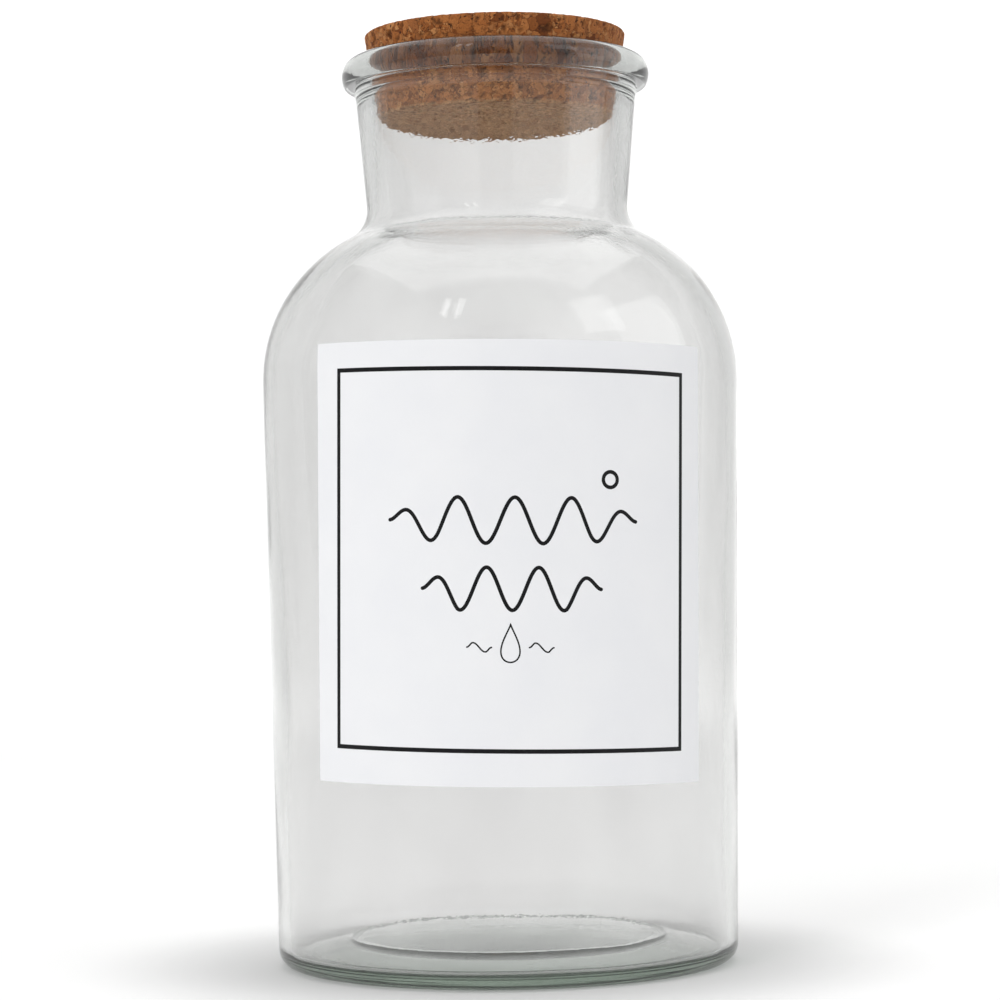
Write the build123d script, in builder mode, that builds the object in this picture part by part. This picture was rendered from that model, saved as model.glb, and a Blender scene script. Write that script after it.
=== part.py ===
"""Stoppered glass storage bottle: blown glass bottle, agglomerated-cork bung, paper front label.

Millimetres, +Z up. The origin is the centre of the base on the table plane; the label faces -Y.
"""
from build123d import *
from math import cos, degrees, radians, sin, sqrt, tan
import os

os.makedirs("parts", exist_ok=True)

# ---- glass bottle, outside ------------------------------------------------------------------------
heel_corner_radius = 59.95   # the body line meets the table plane here, before the heel is rounded
heel_round = 4.5
foot_inner_radius = 50.0     # inner edge of the ring the bottle stands on
push_up = 3.0                # hollow under the base, deepest on the axis
push_up_edge_radius = 41.0
push_up_edge = 2.6
body_lean = 0.9              # degrees, the body widens upwards
shoulder_centre_radius = 20.43
shoulder_z = 152.0
shoulder_radius = 41.9
shoulder_turn = 63.2         # degrees of shoulder above its widest ring
neck_hollow = 9.0            # concave round between the shoulder and the neck
neck_lean = 5.0              # degrees, the neck widens upwards
neck_length = 28.7

# ---- glass bottle, rolled lip ---------------------------------------------------------------------
collar_radius = 37.25        # the neck's last millimetres under the lip stand out a little
collar_z = 227.05
crease_radius = 37.1         # the collar meets the lip's flat underside
crease_z = 229.1
lip_under_radius = 39.6      # outer end of the underside
lip_under_z = 229.15
lip_edge_radius = 40.0       # where the side of the lip begins
lip_edge_z = 229.9
collar_round = 0.15
crease_round = 0.2
lip_under_round = 0.7
lip_radius = 40.5            # widest ring of the lip
lip_z = 232.2
lip_top_radius = 39.9        # where the side rolls over into the top
lip_top_z = 234.7
rim_radius = 36.35           # highest ring
rim_z = 236.8

# ---- glass bottle, inside ---------------------------------------------------------------------------
wall = 3.2
throat_lean = 3.2            # degrees, the inside of the neck widens upwards too
mouth_round = 2.0            # between the inside of the neck and the rim
floor_centre_z = 9.0         # the middle of the floor is a low dome
floor_edge_radius = 40.3     # which ends at a thin raised ring
floor_edge_z = 7.05
ring_radius = 40.9
ring_z = 7.4
ring_foot_radius = 41.6
ring_foot_z = 6.75
ring_round = 0.3
ring_foot_round = 0.4
floor_corner_radius = 57.0   # beyond the ring the floor slopes down to the foot of the wall
floor_corner_z = 3.6
inner_heel_round = 1.4

# ---- cork bung -----------------------------------------------------------------------------------------
cork_bottom_z = 220.7
cork_top_z = 243.2
cork_bottom_radius = 30.95
cork_top_radius = 34.42
cork_bottom_round = 1.2
cork_top_round = 0.6

# ---- paper label ----------------------------------------------------------------------------------------
label_width = 108.0          # measured round the curve
label_height = 108.6
label_centre_z = 103.9
label_tilt = 1.0             # degrees, stuck on leaning a little to the right
label_thickness = 0.14
glue_gap = 0.04              # keeps the paper clear of the glass
wrap_angle = 112.0           # degrees of the paper sleeve that the label is cut from
wrap_half_height = 56.5

shoulder_centre = (shoulder_centre_radius, shoulder_z)


def body_line_point(start, height):
    """The point at this height on the body's slightly leaning line through start."""
    return (start.X - (start.Y - height) * tan(radians(body_lean)), height)


# Glass bottle: one closed half profile, in radius and height, turned about the axis. The wall runs
# from the push-up under the base, up the outside, over the lip and down the inside to the floor.
with BuildPart() as glass_bottle:
    with BuildSketch(Plane.XZ):
        with BuildLine():
            # outside, base to lip
            shoulder = CenterArc(shoulder_centre, shoulder_radius, -body_lean,
                                 body_lean + shoulder_turn)
            FilletPolyline(
                (0, push_up),
                (push_up_edge_radius, push_up_edge),
                (foot_inner_radius, 0),
                (heel_corner_radius, 0),
                shoulder @ 0,
                radius=[8.0, 3.0, heel_round],
            )
            hollow = JernArc(shoulder @ 1, shoulder % 1, neck_hollow, -(shoulder_turn + neck_lean))
            neck = PolarLine(hollow @ 1, neck_length, 90 - neck_lean)
            FilletPolyline(
                neck @ 1,
                (collar_radius, collar_z),
                (crease_radius, crease_z),
                (lip_under_radius, lip_under_z),
                (lip_edge_radius, lip_edge_z),
                radius=[collar_round, crease_round, lip_under_round],
            )
            lip_side = ThreePointArc(
                (lip_edge_radius, lip_edge_z),
                (lip_radius, lip_z),
                (lip_top_radius, lip_top_z),
            )
            TangentArc(lip_side @ 1, (rim_radius, rim_z), tangent=lip_side % 1)

            # inside, floor to mouth
            inner_shoulder = CenterArc(shoulder_centre, shoulder_radius - wall, -body_lean,
                                       body_lean + shoulder_turn)
            TangentArc((0, floor_centre_z), (floor_edge_radius, floor_edge_z), tangent=(1, 0))
            FilletPolyline(
                (floor_edge_radius, floor_edge_z),
                (ring_radius, ring_z),
                (ring_foot_radius, ring_foot_z),
                (floor_corner_radius, floor_corner_z),
                inner_shoulder @ 0,
                radius=[ring_round, ring_foot_round, inner_heel_round],
            )
            inner_hollow = JernArc(inner_shoulder @ 1, inner_shoulder % 1, neck_hollow + wall,
                                   -(shoulder_turn + throat_lean))
            throat_end = inner_hollow @ 1
            mouth_corner = throat_end.X + (rim_z - throat_end.Y) * tan(radians(throat_lean))
            FilletPolyline(
                throat_end,
                (mouth_corner, rim_z),
                (rim_radius, rim_z),
                radius=[mouth_round],
            )

            # the axis, through the thickness of the base
            Line((0, push_up), (0, floor_centre_z))
        make_face()
    revolve(axis=Axis.Z)
glass_bottle.part.label = "glass_bottle"

# Cork bung: a plain taper, wedged in the mouth at about two thirds of its height.
with BuildPart() as cork_stopper:
    with BuildSketch(Plane.XZ):
        with BuildLine():
            FilletPolyline(
                (0, cork_bottom_z),
                (cork_bottom_radius, cork_bottom_z),
                (cork_top_radius, cork_top_z),
                (0, cork_top_z),
                radius=[cork_bottom_round, cork_top_round],
            )
            Line((0, cork_top_z), (0, cork_bottom_z))
        make_face()
    revolve(axis=Axis.Z)
cork_stopper.part.label = "cork_stopper"

# Paper label: a plain rectangle of paper, wrapped round the front of the body and the start of the
# shoulder, a hair clear of the glass. It is cut from a wider paper sleeve, whose section is drawn at
# the sleeve's left edge and turned across the front.
label_inner_arc = shoulder_radius + glue_gap
label_outer_arc = label_inner_arc + label_thickness
sleeve_bottom_z = label_centre_z - wrap_half_height
sleeve_top_z = label_centre_z + wrap_half_height
sleeve_top_turn = degrees((sleeve_top_z - shoulder_z) / label_inner_arc)
left_edge = radians(-90 - wrap_angle / 2)
left_plane = Plane(
    origin=(0, 0, 0),
    x_dir=(cos(left_edge), sin(left_edge), 0),
    z_dir=(sin(left_edge), -cos(left_edge), 0),
)


def paper_radius(height):
    """The radius of the paper's face at this height."""
    if height > shoulder_z:
        return shoulder_centre_radius + sqrt(label_outer_arc**2 - (height - shoulder_z)**2)
    return shoulder_centre_radius + label_outer_arc - (shoulder_z - height) * tan(radians(body_lean))


def label_corner(side, end):
    """A corner of the leaning label seen from the front: side -1 is left and end -1 is the bottom."""
    lean = radians(label_tilt)
    across = side * label_width / 2 * cos(lean) + end * label_height / 2 * sin(lean)
    height = label_centre_z + end * label_height / 2 * cos(lean) - side * label_width / 2 * sin(lean)
    return (paper_radius(height) * sin(across / paper_radius(height)), height)


with BuildPart() as front_label:
    with BuildSketch(left_plane):
        with BuildLine():
            paper_back = CenterArc(shoulder_centre, label_inner_arc, -body_lean,
                                   body_lean + sleeve_top_turn)
            paper_face = CenterArc(shoulder_centre, label_outer_arc, -body_lean,
                                   body_lean + sleeve_top_turn)
            back_low = body_line_point(paper_back @ 0, sleeve_bottom_z)
            face_low = body_line_point(paper_face @ 0, sleeve_bottom_z)
            Line(paper_back @ 0, back_low)
            Line(paper_face @ 0, face_low)
            Line(back_low, face_low)
            Line(paper_back @ 1, paper_face @ 1)
        make_face()
    revolve(axis=Axis.Z, revolution_arc=wrap_angle)
    with BuildSketch(Plane.XZ):
        with BuildLine():
            Polyline(
                label_corner(-1, -1),
                label_corner(1, -1),
                label_corner(1, 1),
                label_corner(-1, 1),
                close=True,
            )
        make_face()
    extrude(amount=2 * shoulder_radius, mode=Mode.INTERSECT)
front_label.part.label = "front_label"

export_step(glass_bottle.part, "parts/glass_bottle.step")
export_step(cork_stopper.part, "parts/cork_stopper.step")
export_step(front_label.part, "parts/front_label.step")
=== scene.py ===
"""Looks of a stoppered glass storage bottle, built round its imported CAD. Metres, +Z up, label to -Y."""
import math

import bpy
import numpy as np
from mathutils import Matrix, Vector, noise


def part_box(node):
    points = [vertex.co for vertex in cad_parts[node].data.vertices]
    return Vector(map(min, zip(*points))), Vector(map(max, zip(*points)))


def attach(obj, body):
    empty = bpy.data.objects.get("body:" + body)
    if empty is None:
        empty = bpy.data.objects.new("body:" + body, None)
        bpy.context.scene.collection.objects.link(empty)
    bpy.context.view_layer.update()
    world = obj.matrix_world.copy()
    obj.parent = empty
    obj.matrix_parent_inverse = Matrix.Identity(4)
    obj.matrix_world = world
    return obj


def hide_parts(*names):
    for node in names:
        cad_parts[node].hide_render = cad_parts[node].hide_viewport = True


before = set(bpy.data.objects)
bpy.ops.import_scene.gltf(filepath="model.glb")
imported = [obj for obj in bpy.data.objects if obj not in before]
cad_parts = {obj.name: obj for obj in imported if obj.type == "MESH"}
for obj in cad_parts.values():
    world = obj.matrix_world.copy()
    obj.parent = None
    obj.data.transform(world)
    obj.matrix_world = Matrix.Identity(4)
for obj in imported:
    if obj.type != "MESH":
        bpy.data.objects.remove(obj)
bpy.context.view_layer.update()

MM = 0.001
SCENE = bpy.context.scene
SAME_PLACE = 1e-7        # metres


# ------------------------------------------------------------------------------------ the CAD's shapes
def turned_section(node):
    """A turned CAD node's half section on the +X side, walked in order as (radius, height) in metres."""
    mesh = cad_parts[node].data
    spot = {}
    for v in mesh.vertices:
        if abs(v.co.y) < SAME_PLACE and v.co.x > -SAME_PLACE:
            spot[v.index] = (round(max(v.co.x, 0.0), 7), round(v.co.z, 7))
    links = {}
    for edge in mesh.edges:
        a, b = (spot.get(i) for i in edge.vertices)
        if a and b and a != b:
            links.setdefault(a, set()).add(b)
            links.setdefault(b, set()).add(a)
    ends = [p for p in links if len(links[p]) == 1]
    walk = [min(ends, key=lambda p: p[1])]
    seen = set(walk)
    while True:
        here = walk[-1]
        ways = [p for p in links[here] if p not in seen]
        if not ways:
            break
        step = min(ways, key=lambda p: math.dist(p, here))
        walk.append(step)
        seen.add(step)
    # a flat end has no point of its own on the axis
    first, last = (0.0, walk[0][1]), (0.0, walk[-1][1])
    walk = [first] * (walk[0] != first) + walk + [last] * (walk[-1] != last)
    return np.array(walk)


def smooth_curve(points, step, corner=0.6, straight=2.5):
    """Close points along a faceted section: its rounds come back smooth, corners and straights stay.

    A turn of more than corner radians is a corner. A leg more than straight times as long as the
    next is a straight stretch.
    """
    leg = np.diff(points, axis=0)
    length = np.hypot(*leg.T)
    way = leg / length[:, None]
    leave, arrive = way.copy(), way.copy()
    for i in range(1, len(leg)):
        before, after = way[i - 1], way[i]
        if np.dot(before, after) < math.cos(corner):
            continue
        if length[i - 1] > straight * length[i]:
            tangent = before
        elif length[i] > straight * length[i - 1]:
            tangent = after
        else:
            tangent = length[i] * before + length[i - 1] * after
            tangent /= np.linalg.norm(tangent)
        arrive[i - 1] = leave[i] = tangent
    curve = []
    for i, (start, end) in enumerate(zip(points, points[1:])):
        count = max(1, math.ceil(length[i] / step))
        t = (np.arange(count) / count)[:, None]
        between = (2 * t**3 - 3 * t**2 + 1) * start + (3 * t**2 - 2 * t**3) * end
        bulge = (t**3 - 2 * t**2 + t) * leave[i] + (t**3 - t**2) * arrive[i]
        curve.append(between + length[i] * bulge)
    return np.r_[np.concatenate(curve), points[-1:]]


def outward(section):
    """Unit normals of a turned section, as (radius, height), pointing out of the solid."""
    way = np.gradient(section, axis=0)
    way /= np.linalg.norm(way, axis=1)[:, None]
    return np.c_[way[:, 1], -way[:, 0]]


def pushed(p, normal, distance):
    """A point of a turned mesh, moved along its section's normal."""
    flat = math.hypot(p[0], p[1]) or 1.0
    return p + distance * np.array([normal[0] * p[0] / flat, normal[0] * p[1] / flat, normal[1]])


def resample(points, fine, coarse, bend):
    """Points along a section: fine steps where it bends, up to coarse ones where it runs straight."""
    dense = smooth_curve(points, fine / 2)
    away = np.hypot(*np.diff(dense, axis=0).T)
    way = np.unwrap(np.arctan2(*np.diff(dense, axis=0).T[::-1]))
    kept = [0]
    run, turn = 0.0, 0.0
    for i in range(1, len(dense) - 1):
        run += away[i - 1]
        turn += abs(way[i] - way[i - 1])
        if run >= coarse or (run >= fine and turn >= bend):
            kept.append(i)
            run, turn = 0.0, 0.0
    kept.append(len(dense) - 1)
    return dense[kept]


def new_piece(name, points, faces, material):
    """A smooth-shaded mesh object from numpy points and a list of faces."""
    mesh = bpy.data.meshes.new(name)
    mesh.from_pydata([tuple(p) for p in points], [], faces)
    mesh.validate()
    mesh.update()
    mesh.materials.append(material)
    mesh.polygons.foreach_set("use_smooth", [True] * len(mesh.polygons))
    piece = bpy.data.objects.new(name, mesh)
    SCENE.collection.objects.link(piece)
    return piece


def turned_mesh(profile, steps):
    """Points and faces of a profile turned about Z. Its first and last points lie on the axis."""
    inner = profile[1:-1]
    angle = np.arange(steps) * 2 * math.pi / steps
    points = np.empty((len(inner), steps, 3))
    points[:, :, 0] = inner[:, 0, None] * np.cos(angle)
    points[:, :, 1] = inner[:, 0, None] * np.sin(angle)
    points[:, :, 2] = inner[:, 1, None]
    faces = []
    for i in range(len(inner) - 1):
        for j in range(steps):
            k = (j + 1) % steps
            faces.append((i * steps + j, i * steps + k, (i + 1) * steps + k, (i + 1) * steps + j))
    first = len(inner) * steps
    last = first + 1
    top = (len(inner) - 1) * steps
    for j in range(steps):
        k = (j + 1) % steps
        faces.append((first, k, j))
        faces.append((last, top + j, top + k))
    ends = np.array([[0, 0, profile[0, 1]], [0, 0, profile[-1, 1]]])
    return np.r_[points.reshape(-1, 3), ends], faces


def ramp(low, high, x):
    """0 below low, 1 above high, smooth between."""
    t = np.clip((x - low) / (high - low), 0, 1)
    return t * t * (3 - 2 * t)


# --------------------------------------------------------------------------------------- node helpers
def new_material(name):
    material = bpy.data.materials.new(name)
    material.use_nodes = True
    material.node_tree.nodes.clear()
    return material, material.node_tree


def node(tree, kind, **values):
    """A shader node. Plain names set its properties, and names of sockets set its inputs."""
    made = tree.nodes.new(kind)
    for key, value in values.items():
        if hasattr(made, key) and key not in made.inputs:
            setattr(made, key, value)
        else:
            made.inputs[key.replace("_", " ")].default_value = value
    return made


def principled(tree, **values):
    return node(tree, "ShaderNodeBsdfPrincipled", **values)


def surface(tree, shader):
    """Makes a shader the material's surface."""
    out = tree.nodes.new("ShaderNodeOutputMaterial")
    tree.links.new(shader.outputs[0], out.inputs["Surface"])
    return out


def colour_stops(tree, value, *pairs):
    """A colour by value, from (position, colour) pairs."""
    made = tree.nodes.new("ShaderNodeValToRGB")
    elements = made.color_ramp.elements
    elements.remove(elements[-1])
    for i, (position, colour) in enumerate(pairs):
        stop = elements[0] if i == 0 else elements.new(position)
        stop.position = position
        stop.color = (*colour, 1)
    tree.links.new(value, made.inputs[0])
    return made.outputs["Color"]


def mm_coordinates(tree, scale=(1, 1, 1)):
    """The piece's own coordinates, in millimetres, stretched by scale."""
    place = tree.nodes.new("ShaderNodeTexCoord")
    stretch = tree.nodes.new("ShaderNodeMapping")
    stretch.inputs["Scale"].default_value = [share / MM for share in scale]
    tree.links.new(place.outputs["Object"], stretch.inputs["Vector"])
    return stretch.outputs["Vector"]


def parts_of(tree, where):
    """A vector's X, Y and Z sockets."""
    made = tree.nodes.new("ShaderNodeSeparateXYZ")
    tree.links.new(where, made.inputs[0])
    return made.outputs


def length_of(tree, where):
    made = tree.nodes.new("ShaderNodeVectorMath")
    made.operation = "LENGTH"
    tree.links.new(where, made.inputs[0])
    return made.outputs["Value"]


def noise_node(tree, where, scale, detail=3.0, rough=0.55):
    made = node(tree, "ShaderNodeTexNoise", Scale=scale, Detail=detail, Roughness=rough)
    tree.links.new(where, made.inputs["Vector"])
    return made.outputs["Fac"]


def spread(tree, value, low, high, to_low=0.0, to_high=1.0, smooth=False):
    """Maps a value from low..high to to_low..to_high, held inside."""
    made = tree.nodes.new("ShaderNodeMapRange")
    made.interpolation_type = "SMOOTHSTEP" if smooth else "LINEAR"
    for key, number in zip(("From Min", "From Max", "To Min", "To Max"), (low, high, to_low, to_high)):
        made.inputs[key].default_value = number
    tree.links.new(value, made.inputs["Value"])
    return made.outputs["Result"]


def blend_colours(tree, share, a, b, how="MIX"):
    """Colour a, or b by share. Each may be a colour or a socket."""
    made = tree.nodes.new("ShaderNodeMix")
    made.data_type = "RGBA"
    made.blend_type = how
    for key, value in (("Factor", share), ("A", a), ("B", b)):
        kind = "VALUE" if key == "Factor" else "RGBA"
        socket = next(s for s in made.inputs if s.name == key and s.type == kind)
        if isinstance(value, bpy.types.NodeSocket):
            tree.links.new(value, socket)
        else:
            socket.default_value = value if key == "Factor" else (*value, 1)
    return next(s for s in made.outputs if s.type == "RGBA")


def maths(tree, how, a, b=0.0):
    made = tree.nodes.new("ShaderNodeMath")
    made.operation = how
    for socket, value in zip(made.inputs, (a, b)):
        if isinstance(value, bpy.types.NodeSocket):
            tree.links.new(value, socket)
        else:
            socket.default_value = value
    return made.outputs[0]


def times(tree, a, b):
    return maths(tree, "MULTIPLY", a, b)


def bump(tree, height, distance, strength=1.0):
    made = node(tree, "ShaderNodeBump", Strength=strength, Distance=distance)
    tree.links.new(height, made.inputs["Height"])
    return made.outputs["Normal"]


# -------------------------------------------------------------------------------------------- materials
GLASS_TINTS = (0.860, 0.854, 0.857), (0.890, 0.885, 0.887)
FROST_TINT = (0.80, 0.885, 0.815)
FROST_HEIGHT = 3.2, 3.7          # mm, where the frosted underside fades out upwards
FROST_RADIUS = 52, 57            # mm, and outwards
NECK_RIPPLE = 150, 205           # mm, over which the ripple grows on the way up
LIP_CALM = 222, 227              # mm, over which the fire-polished lip loses it again
GLASS_IOR = 1.52
SHADOW_TINT = 0.955, 0.968, 0.960, 1
ABSORBED, DENSITY = (0.44, 0.52, 0.45, 1), 24.0


def glass_material():
    """Clear recycled glass: a faint green in the thick parts, and barely uneven where it was blown."""
    material, tree = new_material("bottle_glass")
    where = mm_coordinates(tree, (1, 1, 0.35))
    smear = noise_node(tree, where, 0.045, 2.0)
    film = noise_node(tree, where, 0.11, 4.0)
    height = parts_of(tree, mm_coordinates(tree))["Z"]
    across = length_of(tree, mm_coordinates(tree, (1, 1, 0)))
    shader = principled(tree, IOR=GLASS_IOR)
    shader.inputs["Transmission Weight"].default_value = 1.0

    # the mould leaves the underside of the foot frosted
    frost = times(tree, spread(tree, height, *FROST_HEIGHT, 1.0, 0.0),
                  spread(tree, across, *FROST_RADIUS, 1.0, 0.0, True))
    colour = blend_colours(tree, spread(tree, smear, 0.35, 0.65), *GLASS_TINTS)
    tree.links.new(blend_colours(tree, frost, colour, FROST_TINT), shader.inputs["Base Color"])
    frosted = times(tree, frost, spread(tree, film, 0.3, 0.7, 0.26, 0.36))
    clear = spread(tree, film, 0.4, 0.75, 0.0, 0.022)
    tree.links.new(maths(tree, "MAXIMUM", clear, frosted), shader.inputs["Roughness"])

    # a fine ripple, strongest round the neck, where the glass was turned on the iron
    ripple = noise_node(tree, mm_coordinates(tree, (1, 1, 1.3)), 0.85, 1.5)
    neck = times(tree, spread(tree, height, *NECK_RIPPLE, 0.3, 1.0, True),
                 spread(tree, height, *LIP_CALM, 1.0, 0.3, True))
    tree.links.new(bump(tree, times(tree, ripple, neck), 0.022 * MM), shader.inputs["Normal"])

    # the lamps shine straight through onto what stands behind the glass
    through = node(tree, "ShaderNodeBsdfTransparent", Color=SHADOW_TINT)
    path = tree.nodes.new("ShaderNodeLightPath")
    either = tree.nodes.new("ShaderNodeMixShader")
    tree.links.new(path.outputs["Is Shadow Ray"], either.inputs[0])
    tree.links.new(shader.outputs[0], either.inputs[1])
    tree.links.new(through.outputs[0], either.inputs[2])
    out = surface(tree, either)
    green = node(tree, "ShaderNodeVolumeAbsorption", Color=ABSORBED, Density=DENSITY)
    tree.links.new(green.outputs[0], out.inputs["Volume"])
    return material


TANS = [
    (0.00, (0.185, 0.050, 0.011)),
    (0.16, (0.430, 0.147, 0.038)),
    (0.38, (0.575, 0.222, 0.067)),
    (0.62, (0.445, 0.150, 0.040)),
    (0.84, (0.700, 0.325, 0.120)),
    (1.00, (0.300, 0.087, 0.021)),
]
SHADED, BARE = (0.40, 0.34, 0.30), (1.0, 1.0, 1.0)
# PORE_SHADE is painted shade in the pits
SEAM, BARK, PORE_SHADE = (0.070, 0.024, 0.008), (0.028, 0.013, 0.007), (0.045, 0.018, 0.007)
# the sawn underside's tones: finer than the side, and paler as painted light for the dim light under the
# bung
SAWN_DARK, SAWN_PALE_AND_LIT = (0.32, 0.12, 0.045), (1.0, 0.64, 0.35)
SAWN_DEPTH = 0.25, 1.3           # mm above the underside, where the sawn face's look fades out
# painted shade: the cork is darkened where the glass mouth closes round it
MOUTH_SHADE = (0.72, 0.66, 0.61)
MOUTH_SHADE_FOOT, MOUTH_SHADE_TOP = (228, 231), (236, 237.5)      # mm, the fading edges of the band of painted shade inside the mouth
# painted light: the cork below the lip, seen through the glass, is brightened and made paler
INSIDE_LIGHT_GAIN, INSIDE_LIGHT_TINT = (1.4, 1.4, 1.4), (0.90, 0.60, 0.40)
INSIDE_LIGHT_TOP = 227, 230             # mm
GRANULES = (0.34, 0.72, 1.35)    # voronoi scale of the large granules, the middling ones and the crumbs
SEAM_WIDTHS = (0.055, 0.075, 0.090)
FINER = ((0.46, 0.50), (0.60, 0.66))     # a granule's random value past which finer ones take its place
WARP = (1.6, 1.6, 1.6)           # mm, how far the granules' outlines are bent


def cork_material():
    """Agglomerated cork: granules of mixed tans pressed together, with dark bark specks and open pores,
    painted shade in the pits and in the mouth, and painted light below the lip and on the underside.
    """
    material, tree = new_material("cork")
    where = mm_coordinates(tree)
    warp = node(tree, "ShaderNodeTexNoise", Scale=0.45, Detail=2.0)
    tree.links.new(where, warp.inputs["Vector"])
    pull = tree.nodes.new("ShaderNodeVectorMath")
    pull.operation = "MULTIPLY_ADD"
    tree.links.new(warp.outputs["Color"], pull.inputs[0])
    pull.inputs[1].default_value = WARP
    tree.links.new(where, pull.inputs[2])

    def cells(scale, feature="F1"):
        made = node(tree, "ShaderNodeTexVoronoi", feature=feature, Scale=scale)
        tree.links.new(pull.outputs[0], made.inputs["Vector"])
        return made

    # each size of granule fills the places that the size before leaves to it
    body, gap, finer = None, None, None
    for i, (size, seam) in enumerate(zip(GRANULES, SEAM_WIDTHS)):
        parted = tree.nodes.new("ShaderNodeSeparateColor")
        tree.links.new(cells(size).outputs["Color"], parted.inputs[0])
        shade = colour_stops(tree, parted.outputs[0], *TANS)
        edge = spread(tree, cells(size, "DISTANCE_TO_EDGE").outputs["Distance"], 0.0, seam, 1.0, 0.0, True)
        if body is None:
            body, gap = shade, edge
        else:
            body = blend_colours(tree, finer, body, shade)
            kept = times(tree, gap, maths(tree, "SUBTRACT", 1.0, finer))
            gap = maths(tree, "MAXIMUM", kept, times(tree, edge, finer))
        if i < len(FINER):
            here = spread(tree, parted.outputs[1], *FINER[i])
            finer = here if finer is None else times(tree, finer, here)
    grain = noise_node(tree, where, 2.6, 5.0, 0.75)
    grained = colour_stops(tree, grain, (0.30, SHADED), (0.68, BARE))
    body = blend_colours(tree, 0.75, body, grained, "MULTIPLY")

    # dark seams, here and there, then bark specks, then painted shade in the pits
    gap = times(tree, gap, spread(tree, noise_node(tree, where, 0.7, 2.0), 0.40, 0.58))
    body = blend_colours(tree, times(tree, gap, 0.8), body, SEAM)
    speck = spread(tree, noise_node(tree, where, 1.25, 2.5, 0.6), 0.62, 0.67)
    flecks = spread(tree, noise_node(tree, where, 3.3, 2.0, 0.5), 0.64, 0.70)
    dark = maths(tree, "MAXIMUM", speck, times(tree, flecks, 0.7))
    body = blend_colours(tree, times(tree, dark, 0.92), body, BARK)
    # painted shade where the mesh has pits
    pit_shade = node(tree, "ShaderNodeAttribute", attribute_name="pit_shade")
    body = blend_colours(tree, times(tree, pit_shade.outputs["Fac"], 0.75), body, PORE_SHADE)

    # the sawn face under the bung is finer than its rubbed side, and made paler as painted light where
    # little light reaches under it
    height = parts_of(tree, where)["Z"]
    underside = float(cork_profile[:, 1].min()) / MM
    under = spread(tree, height, *(underside + depth for depth in SAWN_DEPTH), 0.55, 0.0, True)
    sawn_and_lit = colour_stops(tree, noise_node(tree, where, 0.9, 5.0, 0.75), (0.38, SAWN_DARK), (0.60, SAWN_PALE_AND_LIT))
    body = blend_colours(tree, under, body, sawn_and_lit)
    # painted shade darkens it where the glass mouth closes round it, and painted light brightens it below
    # the lip
    # painted shade in the band inside the mouth
    mouth_shade = times(tree, spread(tree, height, *MOUTH_SHADE_FOOT, 0.0, 1.0, True),
                    spread(tree, height, *MOUTH_SHADE_TOP, 1.0, 0.0, True))
    body = blend_colours(tree, mouth_shade, body, MOUTH_SHADE, "MULTIPLY")
    # painted light: the cork below the lip is brightened and made paler
    inside_light = spread(tree, height, *INSIDE_LIGHT_TOP, 1.0, 0.0, True)
    body = blend_colours(tree, inside_light, body, INSIDE_LIGHT_GAIN, "MULTIPLY")
    body = blend_colours(tree, times(tree, inside_light, 0.14), body, INSIDE_LIGHT_TINT)

    shader = principled(tree)
    shader.inputs["Specular IOR Level"].default_value = 0.28
    tree.links.new(body, shader.inputs["Base Color"])
    tree.links.new(spread(tree, grain, 0.3, 0.7, 0.72, 0.92), shader.inputs["Roughness"])
    relief = maths(tree, "SUBTRACT", times(tree, grain, 0.35), maths(tree, "ADD", gap, dark))
    tree.links.new(bump(tree, relief, 0.22 * MM, 0.8), shader.inputs["Normal"])
    surface(tree, shader)
    return material


PAPER_WHITES, PAPER_FIBRE = ((0.868, 0.876, 0.900), (0.892, 0.898, 0.915)), (0.70, 0.70, 0.72)
INK_BLACKS = (0.003, 0.003, 0.0035), (0.008, 0.008, 0.009)


def paper_material():
    """Smooth white label paper with a faint fibre and a soft sheen."""
    material, tree = new_material("label_paper")
    fibre = noise_node(tree, mm_coordinates(tree, (1, 1, 0.4)), 2.6, 4.0, 0.6)
    cloud = noise_node(tree, mm_coordinates(tree), 0.05, 2.0)
    colour = blend_colours(tree, spread(tree, cloud, 0.35, 0.65), *PAPER_WHITES)
    colour = blend_colours(tree, spread(tree, fibre, 0.35, 0.7, 0.0, 0.035), colour, PAPER_FIBRE)
    shader = principled(tree)
    shader.inputs["Specular IOR Level"].default_value = 0.35
    tree.links.new(colour, shader.inputs["Base Color"])
    tree.links.new(spread(tree, fibre, 0.3, 0.7, 0.38, 0.50), shader.inputs["Roughness"])
    tree.links.new(bump(tree, fibre, 0.02 * MM, 0.5), shader.inputs["Normal"])
    surface(tree, shader)
    return material


def ink_material():
    """Black printing ink, very slightly uneven."""
    material, tree = new_material("label_ink")
    cloud = noise_node(tree, mm_coordinates(tree), 1.4, 3.0)
    shader = principled(tree)
    shader.inputs["Specular IOR Level"].default_value = 0.22
    colour = blend_colours(tree, spread(tree, cloud, 0.35, 0.7), *INK_BLACKS)
    tree.links.new(colour, shader.inputs["Base Color"])
    tree.links.new(spread(tree, cloud, 0.3, 0.7, 0.44, 0.58), shader.inputs["Roughness"])
    surface(tree, shader)
    return material


# ---------------------------------------------------------------------------------------- glass bottle
GLASS_STEPS = 208
SHRINK = 0.9996                      # keeps the rounds inside the box of the CAD's facets
INNER_WAVE, FLOOR_WAVE, OUTER_WAVE = 0.17, 0.12, 0.045        # mm
SLOW_WAVE, QUICK_WAVE = (62, 62, 15), (150, 150, 46)          # noise scales per metre: x, y and z
QUICK_SHARE = 0.3
FLOOR_TOP = 0.012                    # metres: above it the inside is wall
glass_profile = resample(turned_section("glass_bottle"), fine=0.12 * MM, coarse=2.4 * MM, bend=0.07)
glass_profile[:, 0] *= SHRINK
rim_index = int(glass_profile[:, 1].argmax())
outer_wall = glass_profile[1:rim_index]
widest = int(outer_wall[:, 0].argmax())


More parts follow.
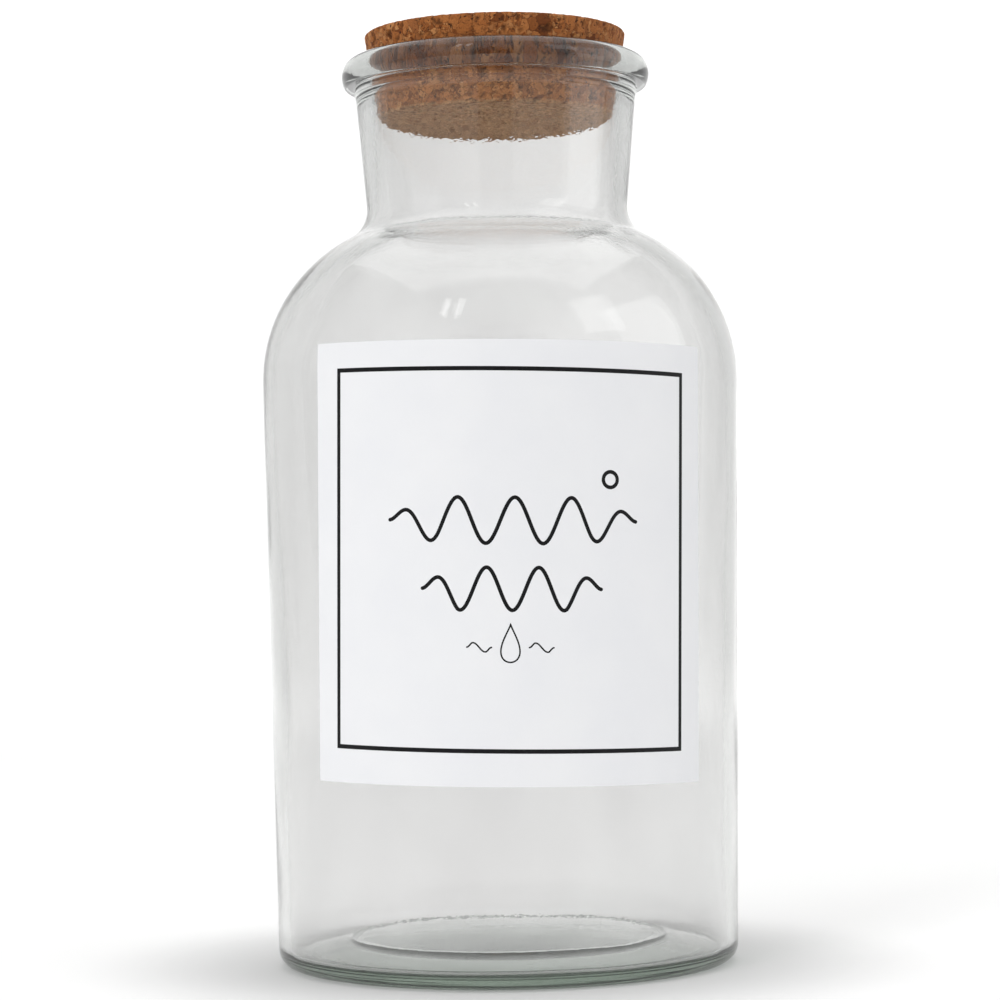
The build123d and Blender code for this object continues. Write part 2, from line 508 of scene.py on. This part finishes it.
def wall_radius(height):
    """Outer radius of the glass at a height on its body or shoulder."""
    # the wall alone: wider than the neck, and above the flat of the foot
    side = outer_wall[outer_wall[:, 0] > 0.75 * outer_wall[widest, 0]]
    side = side[side[:, 1] > side[:, 1].min() + 1e-5]
    return np.interp(height, side[:, 1], side[:, 0])


def wavy_glass():
    """The bottle's mesh: the CAD's own section, with the slow waves that blowing leaves, mostly inside."""
    points, faces = turned_mesh(glass_profile, GLASS_STEPS)
    section = glass_profile[1:-1]
    normal = outward(section)
    radius, z = section.T
    inside = np.arange(len(section)) >= rim_index
    body = ramp(FLOOR_TOP, 0.034, z) * (1 - ramp(0.196, 0.214, z))
    floor = np.where(z < FLOOR_TOP, 1.0, 0.0) * ramp(0.0, 0.012, radius)
    skin = ramp(0.006, 0.02, z) * (1 - ramp(0.215, 0.226, z))
    depth = np.where(inside, INNER_WAVE * body + FLOOR_WAVE * floor, OUTER_WAVE * skin)
    grid = points[:-2].reshape(len(section), GLASS_STEPS, 3)
    for i, row in enumerate(grid):
        if depth[i] <= 0:
            continue
        side = 17.0 if inside[i] else 0.0        # the two faces have waves of their own
        for j, p in enumerate(row):
            slow = noise.noise(Vector(p * SLOW_WAVE + (side, 0, 0)))
            quick = noise.noise(Vector(p * QUICK_WAVE + (0, side, 0)))
            wave = slow + QUICK_SHARE * quick
            if not inside[i]:
                wave = min(0.0, wave - 0.5)        # the outside only dips
            row[j] = pushed(p, normal[i], wave * depth[i] * MM)
    return points, faces


points, faces = wavy_glass()
bottle = new_piece("bottle_glass_shell", points, faces, glass_material())
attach(bottle, "bottle")
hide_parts("glass_bottle")

# ---------------------------------------------------------------------------------------- cork stopper
CORK_STEPS = 336
SEAM_DEPTH, HOLE_DEPTH, CRUMB_DEPTH = 0.10, 0.62, 0.05        # mm
SEAM_SCALE, HOLE_SCALE, CRUMB_SCALE = 0.30, 0.55, 1.25        # noise scales per mm
AXIS_DEPTH = 0.06                                             # mm
cork_profile = resample(turned_section("cork_stopper"), fine=0.3 * MM, coarse=0.64 * MM, bend=0.25)


def pitted_cork():
    """The bung's mesh, with open pores and crumbled granules let into its faces, and how deep each is."""
    points, faces = turned_mesh(cork_profile, CORK_STEPS)
    section = cork_profile[1:-1]
    normal = outward(section)
    grid = points[:-2].reshape(len(section), CORK_STEPS, 3)
    pits = np.zeros(len(points))
    for i, row in enumerate(grid):
        for j, p in enumerate(row):
            q = Vector(p) * 1000        # in mm
            near, _ = noise.voronoi(q * SEAM_SCALE)
            seam = 1 - min((near[1] - near[0]) / 0.16, 1.0)
            pore = noise.noise(q * HOLE_SCALE + Vector((9, 0, 0)))
            crumb = noise.noise(q * CRUMB_SCALE)
            hole = max(0.0, min((pore - 0.34) / 0.12, 1.0)) * max(0.0, min((crumb + 0.25) / 0.3, 1.0))
            depth = SEAM_DEPTH * seam + HOLE_DEPTH * hole + CRUMB_DEPTH * (crumb + 1)
            pits[i * CORK_STEPS + j] = hole
            row[j] = pushed(p, normal[i], -depth * MM)
    # the two points on the axis sink with the faces round them
    points[-2, 2] += AXIS_DEPTH * MM
    points[-1, 2] -= AXIS_DEPTH * MM
    return points, faces, pits


points, faces, pits = pitted_cork()
cork = new_piece("cork_bung", points, faces, cork_material())
depth_attribute = cork.data.attributes.new("pit_shade", "FLOAT", "POINT")
depth_attribute.data.foreach_set("value", pits.astype(np.float32))
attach(cork, "stopper")
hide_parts("cork_stopper")

# ----------------------------------------------------------------------------------------- front label
label_low, label_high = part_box("front_label")
LABEL_BACK = 0.04 * MM       # clear of the glass
LABEL_FACE = 0.155 * MM
INK_FACE = 0.172 * MM
LABEL_LEAN = math.radians(1.0)       # the paper is stuck on leaning a little to the right
PRINT_LEAN = math.radians(1.3)       # and is printed a trace askew
LABEL_MIDDLE = (label_low.z + label_high.z) / 2
# half the paper's width and height, from the box of the leaning sheet
WIDEST_HEIGHT, WIDEST_PROUD = 0.151, 0.18 * MM        # where the sheet reaches furthest aside
reach_radius = float(wall_radius(WIDEST_HEIGHT)) + WIDEST_PROUD
reach_across = reach_radius * math.asin(label_high.x / reach_radius)
reach_up = (label_high.z - label_low.z) / 2
sine, cosine = math.sin(LABEL_LEAN), math.cos(LABEL_LEAN)
LABEL_WIDE = (reach_across * cosine - reach_up * sine) / (cosine**2 - sine**2)
LABEL_TALL = (reach_up * cosine - reach_across * sine) / (cosine**2 - sine**2)


def on_label(across, up, proud, lean=LABEL_LEAN):
    """A point on the bottle's front, from its place on the paper: across and up from the middle."""
    turned = across * math.cos(lean) + up * math.sin(lean)
    height = LABEL_MIDDLE + up * math.cos(lean) - across * math.sin(lean)
    radius = wall_radius(height)
    angle = turned / radius
    return np.stack([(radius + proud) * np.sin(angle), -(radius + proud) * np.cos(angle), height], axis=-1)


def label_sheet(columns=150, rows=132):
    """A closed thin sheet that follows the glass."""
    across, up = np.meshgrid(np.linspace(-1, 1, columns) * LABEL_WIDE, np.linspace(-1, 1, rows) * LABEL_TALL)
    front = on_label(across, up, LABEL_FACE).reshape(-1, 3)
    back = on_label(across, up, LABEL_BACK).reshape(-1, 3)
    count = len(front)
    faces = []
    for i in range(rows - 1):
        for j in range(columns - 1):
            a = i * columns + j
            faces.append((a, a + 1, a + columns + 1, a + columns))
            faces.append((count + a, count + a + columns, count + a + columns + 1, count + a + 1))
    edge = list(range(columns))
    edge += [i * columns + columns - 1 for i in range(1, rows)]
    edge += [(rows - 1) * columns + j for j in range(columns - 2, -1, -1)]
    edge += [i * columns for i in range(rows - 2, 0, -1)]
    for a, b in zip(edge, edge[1:] + edge[:1]):
        faces.append((a, count + a, count + b, b))
    return np.r_[front, back], faces


points, faces = label_sheet()
label = new_piece("paper_label", points, faces, paper_material())
label.data.set_sharp_from_angle(angle=math.radians(40))
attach(label, "bottle")
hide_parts("front_label")


# --------------------------------------------------------------------------------- printing on the label
def stroke(path, width, closed=False):
    """Points and faces of one printed line of even width along a flat path of (across, height), in mm."""
    path = np.array(path, float)
    if closed:
        before, after = np.roll(path, 1, 0), np.roll(path, -1, 0)
    else:
        before, after = np.r_[path[:1], path[:-1]], np.r_[path[1:], path[-1:]]
    into, out = path - before, after - path
    if not closed:
        into[0], out[-1] = out[0], into[-1]
    into /= np.linalg.norm(into, axis=1)[:, None]
    out /= np.linalg.norm(out, axis=1)[:, None]
    mid = into + out
    mid /= np.linalg.norm(mid, axis=1)[:, None]
    half = width / 2 / np.maximum((mid * out).sum(1), 0.5)
    side = np.c_[-mid[:, 1], mid[:, 0]] * half[:, None]
    if not closed:
        # rounded ends
        caps = np.linspace(0.15, 1.0, 5)[:-1] * math.pi / 2
        start = [(path[0] - mid[0] * width / 2 * math.cos(t), side[0] * math.sin(t)) for t in caps]
        end = [(path[-1] + mid[-1] * width / 2 * math.cos(t), side[-1] * math.sin(t)) for t in caps[::-1]]
        path = np.r_[[p for p, _ in start], path, [p for p, _ in end]]
        side = np.r_[[s for _, s in start], side, [s for _, s in end]]
    middle = (0, LABEL_MIDDLE / MM)
    left, right = (path + side - middle) * MM, (path - side - middle) * MM
    rings = np.stack([
        on_label(left[:, 0], left[:, 1], INK_FACE, PRINT_LEAN),
        on_label(right[:, 0], right[:, 1], INK_FACE, PRINT_LEAN),
        on_label(right[:, 0], right[:, 1], LABEL_FACE - 0.02 * MM, PRINT_LEAN),
        on_label(left[:, 0], left[:, 1], LABEL_FACE - 0.02 * MM, PRINT_LEAN),
    ], axis=1)
    count = len(path)
    faces = []
    for i in range(count if closed else count - 1):
        k = (i + 1) % count
        for a in range(4):
            b = (a + 1) % 4
            faces.append((4 * i + a, 4 * i + b, 4 * k + b, 4 * k + a))
    if not closed:
        faces.append((3, 2, 1, 0))
        last = 4 * (count - 1)
        faces.append((last, last + 1, last + 2, last + 3))
    return rings.reshape(-1, 3), faces


def stepped(corners, step=1.0):
    """A closed outline through its corners, cut into short steps so that it can follow the curve."""
    path = []
    for a, b in zip(corners, corners[1:] + corners[:1]):
        pieces = max(1, round(math.dist(a, b) / step))
        path += [np.add(a, np.subtract(b, a) * i / pieces) for i in range(pieces)]
    return path


def wave(middle, height, width, crests, rise, steps=150):
    """A running wave, flattening out at both ends."""
    path = []
    for i in range(steps + 1):
        t = i / steps
        fade = min(1.0, 5 * t, 5 * (1 - t)) ** 0.7
        path.append((middle + (t - 0.5) * width, height + rise * fade * math.sin(2 * math.pi * crests * t)))
    return path


def ring(middle, height, radius, steps=40):
    """A circle's outline."""
    turns = [2 * math.pi / steps * i for i in range(steps)]
    return [(middle + radius * math.cos(t), height + radius * math.sin(t)) for t in turns]


def drop(middle, height, radius, tall, steps=48):
    """A drop's outline: round below, drawn up to a point."""
    path = []
    for i in range(steps):
        t = 2 * math.pi * i / steps
        narrow = math.sin(t / 2) ** 1.5
        path.append((middle + radius * math.sin(t) * narrow, height + tall / 2 * math.cos(t)))
    return path


# everything printed is placed in mm: across from the label's middle, and by height
BORDER_LOW, BORDER_HIGH, BORDER_SIDE = 58.25, 151.0, 46.5
RULE, LINE, HAIR = 1.06, 0.92, 0.38        # widths of the lines
border = [(-BORDER_SIDE, BORDER_LOW), (BORDER_SIDE, BORDER_LOW)]
border += [(BORDER_SIDE, BORDER_HIGH), (-BORDER_SIDE, BORDER_HIGH)]
drawn = [
    (stepped(border), RULE, True),
    (wave(0.4, 114.2, 62.7, 4.5, 5.6), LINE, False),
    (ring(24.5, 124.4, 1.9), LINE, True),
    (wave(0.0, 97.6, 44.4, 3.5, 5.2), LINE, False),
    (drop(-0.4, 84.4, 3.3, 9.2), HAIR, True),
    (wave(-8.0, 83.4, 6.0, 1.0, 1.1, 40), HAIR, False),
    (wave(7.2, 83.4, 6.0, 1.0, 1.1, 40), HAIR, False),
]
points, faces = [], []
for path, width, closed in drawn:
    some, joined = stroke(path, width, closed)
    faces += [tuple(len(points) + i for i in face) for face in joined]
    points += list(some)
ink = new_piece("label_print", points, faces, ink_material())
ink.data.set_sharp_from_angle(angle=math.radians(40))
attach(ink, "bottle")

# ---------------------------------------------------------------------------------------------- studio
MATT = 0.9
PALE, DULL = (0.86, 0.86, 0.86), (0.03, 0.03, 0.03)


def stage_material(name, colour):
    """A matt, faintly uneven material for what stands round the bottle."""
    material, tree = new_material(name)
    shader = principled(tree, Roughness=MATT)
    cloud = noise_node(tree, mm_coordinates(tree), 0.01, 3.0)
    soft = blend_colours(tree, spread(tree, cloud, 0.3, 0.7), colour, tuple(0.985 * c for c in colour))
    tree.links.new(soft, shader.inputs["Base Color"])
    shader.inputs["Specular IOR Level"].default_value = 0.1
    surface(tree, shader)
    return material, tree, shader


def sweep_glow(tree):
    """How brightly each place of the sweep glows, by its coordinates in metres."""
    place = tree.nodes.new("ShaderNodeTexCoord").outputs["Object"]
    x, y, _ = parts_of(tree, place)
    away = length_of(tree, place)
    # the backdrop, brightest behind the bottle
    backdrop = times(tree, spread(tree, maths(tree, "ABSOLUTE", x), 0.45, 1.5, 1.0, 0.0, True),
                     spread(tree, y, 0.1, 1.6, 0.0, 1.0, True))
    backdrop = times(tree, backdrop, spread(tree, x, -0.2, 0.5, 0.41, 0.53))
    # the table, outside the bottle's own soft shadow
    table = times(tree, spread(tree, away, 0.060, 0.120, 0.0, 0.25, True),
                  spread(tree, y, -0.30, -0.10, 0.0, 1.0, True))
    # a painted pool of light glowing on the floor under the glass foot, for the light the glass gathers
    # there
    painted_foot_glow = spread(tree, away, 0.035, 0.056, 0.24, 0.0, True)
    return maths(tree, "MAXIMUM", backdrop, maths(tree, "MAXIMUM", table, painted_foot_glow))


def sweep():
    """Pale floor that curves up into a backdrop behind the bottle."""
    bend, back, top, half = 0.9, 1.5, 3.2, 6.0
    under = 0.15 * MM        # the floor lies this far below the foot
    line = [(-6.0, 0.0), (-2.0, 0.0), (0.0, 0.0), (back, 0.0)]
    turns = np.linspace(0.06, math.pi / 2, 24)
    line += [(back + bend * math.sin(t), bend - bend * math.cos(t)) for t in turns]
    line.append((back + bend, top))
    columns = np.linspace(-half, half, 25)
    points = [(x, y, z - under) for y, z in line for x in columns]
    wide = len(columns)
    faces = [(i * wide + j, i * wide + j + 1, (i + 1) * wide + j + 1, (i + 1) * wide + j)
             for i in range(len(line) - 1) for j in range(wide - 1)]
    material, tree, shader = stage_material("stage_sweep", PALE)
    tree.links.new(sweep_glow(tree), shader.inputs["Emission Strength"])
    shader.inputs["Emission Color"].default_value = (1, 1, 1, 1)
    return new_piece("stage_sweep", points, faces, material)


def board(name, place, size, colour):
    """A dull board standing behind the camera, for the glass to reflect. It faces the bottle."""
    wide, tall = size
    facing = -Vector((place[0], place[1], 0)).normalized()
    aside = Vector((-facing.y, facing.x, 0))
    middle = Vector(place)
    rows, warp = 9, 0.02
    points, faces = [], []
    for i in range(rows):
        share = i / (rows - 1)
        row = middle + Vector((0, 0, tall * (share - 0.5))) + facing * warp * math.sin(math.pi * share)
        points += [row + aside * wide * j for j in (-0.5, 0.5)]
    for i in range(rows - 1):
        faces.append((2 * i, 2 * i + 1, 2 * i + 3, 2 * i + 2))
    return new_piece(name, points, faces, stage_material(name, colour)[0])


AIM = (0, 0, 0.13)


def panel(name, place, size, watts, aim=AIM):
    """A softbox: an area light at place, facing aim."""
    light = bpy.data.lights.new(name, "AREA")
    light.shape = "RECTANGLE"
    light.size, light.size_y = size
    light.energy = watts
    lamp = bpy.data.objects.new(name, light)
    lamp.location = place
    lamp.rotation_euler = (Vector(aim) - Vector(place)).to_track_quat("-Z", "Y").to_euler()
    SCENE.collection.objects.link(lamp)
    return lamp


sweep()
camera_board = board("stage_camera_board", (-0.1, -2.3, 0.75), (1.15, 1.6), DULL)
camera_board.visible_camera = False        # only mirrored in the glass, so that no view shows it
camera_board.visible_transmission = False

key = panel("key_left", (-0.95, -1.40, 0.90), (0.60, 0.60), 12.0)
key.visible_glossy = False        # it lights the label, and the glass mirrors only the windows
key.visible_transmission = False
# two narrow panes side by side, high on the left
for i, aside in enumerate((-0.11, 0.11)):
    panel(f"window_left_{i}", (-0.70 + 0.87 * aside, -1.27 - 0.48 * aside, 1.54), (0.10, 0.42), 0.32)
panel("window_right", (1.30, -0.98, 1.31), (0.70, 0.80), 1.6)
panel("fill_right", (1.9, -0.35, 0.75), (1.4, 1.6), 6.0)
panel("top_soft", (0.0, 0.3, 2.0), (2.6, 2.2), 13.0, (0, 0.1, 0))

world = bpy.data.worlds.new("studio")
SCENE.world = world
world.use_nodes = True
background = world.node_tree.nodes["Background"]
background.inputs["Color"].default_value = (1.0, 0.996, 0.990, 1)
background.inputs["Strength"].default_value = 0.46

# ---------------------------------------------------------------------------------------------- camera
DISTANCE, EYE_HEIGHT = 0.78125, 0.1026
AROUND, PITCH, ROLL = math.radians(2.25), 0.023, 0.0156
SENSOR, LENS, SHIFT = 36.0, 107.0, -0.0018
camera = bpy.data.cameras.new("camera")
camera.sensor_width = SENSOR
camera.lens = LENS
camera.shift_x = SHIFT
eye = bpy.data.objects.new("camera", camera)
stand = Matrix.Translation((-DISTANCE * math.sin(AROUND), -DISTANCE * math.cos(AROUND), EYE_HEIGHT))
turn = Matrix.Rotation(-AROUND, 4, "Z") @ Matrix.Rotation(math.pi / 2 + PITCH, 4, "X")
eye.matrix_world = stand @ turn @ Matrix.Rotation(-ROLL, 4, "Z")
SCENE.collection.objects.link(eye)
SCENE.camera = eye
SCENE.view_settings.view_transform = "Standard"
